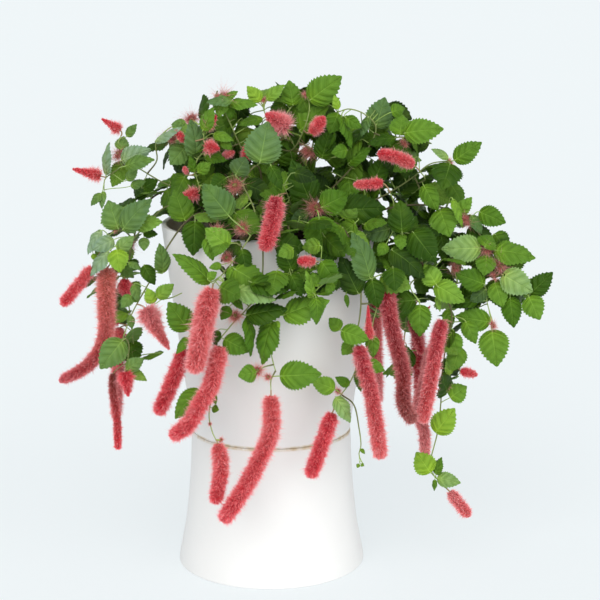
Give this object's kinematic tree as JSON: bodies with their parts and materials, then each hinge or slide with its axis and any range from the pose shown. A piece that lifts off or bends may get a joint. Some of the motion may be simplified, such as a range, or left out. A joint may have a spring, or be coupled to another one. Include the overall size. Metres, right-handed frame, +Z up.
{
  "type": "potted dwarf chenille plant",
  "caption": "Trailing dwarf chenille plant with toothed leaves and hanging red bristly catkins, in a plain white tapered pot on a matching flared foot.",
  "frame": {"origin": "on the ground, under the middle of the pot and its foot", "axes": "+Z up; -Y towards the side that the picture shows; +X to the right seen from there"},
  "size_m": [0.3629, 0.2721, 0.3754],
  "materials": {
    "white_ceramic": "satin white",
    "soil": "crumbly, matt",
    "foliage": "soft leaf sheen",
    "catkin": "fuzzy, matt"
  },
  "bodies": {
    "root": {"pot": "white_ceramic", "stand": "white_ceramic", "soil": "soil", "shoot_left_top": "foliage", "shoot_left_middle": "foliage", "shoot_left_hanging": "foliage", "shoot_centre_left": "foliage", "shoot_low_left": "foliage", "shoot_rosette": "foliage", "shoot_centre_low": "foliage", "shoot_right_low": "foliage", "shoot_right_centre": "foliage", "shoot_left_crown": "foliage", "shoot_middle_crown": "foliage", "shoot_right_crown": "foliage", "shoot_right_top": "foliage", "shoot_right": "foliage", "shoot_right_hanging": "foliage", "shoot_back_1": "foliage", "shoot_back_2": "foliage", "shoot_back_3": "foliage", "shoot_back_4": "foliage", "shoot_back_5": "foliage", "catkin_01": "catkin", "catkin_02": "catkin", "catkin_03": "catkin", "catkin_04": "catkin", "catkin_05": "catkin", "catkin_06": "catkin", "catkin_07": "catkin", "catkin_08": "catkin", "catkin_09": "catkin", "catkin_10": "catkin", "catkin_11": "catkin", "catkin_12": "catkin", "catkin_13": "catkin", "catkin_14": "catkin", "catkin_15": "catkin", "catkin_16": "catkin", "catkin_17": "catkin", "catkin_18": "catkin", "catkin_19": "catkin", "catkin_20": "catkin", "catkin_21": "catkin", "catkin_22": "catkin", "catkin_23": "catkin", "catkin_24": "catkin", "catkin_25": "catkin", "catkin_26": "catkin", "catkin_27": "catkin", "catkin_28": "catkin", "catkin_29": "catkin", "catkin_30": "catkin", "catkin_31": "catkin", "catkin_32": "catkin", "catkin_33": "catkin", "catkin_34": "catkin", "catkin_35": "catkin", "catkin_36": "catkin"}
  },
  "joints": []
}
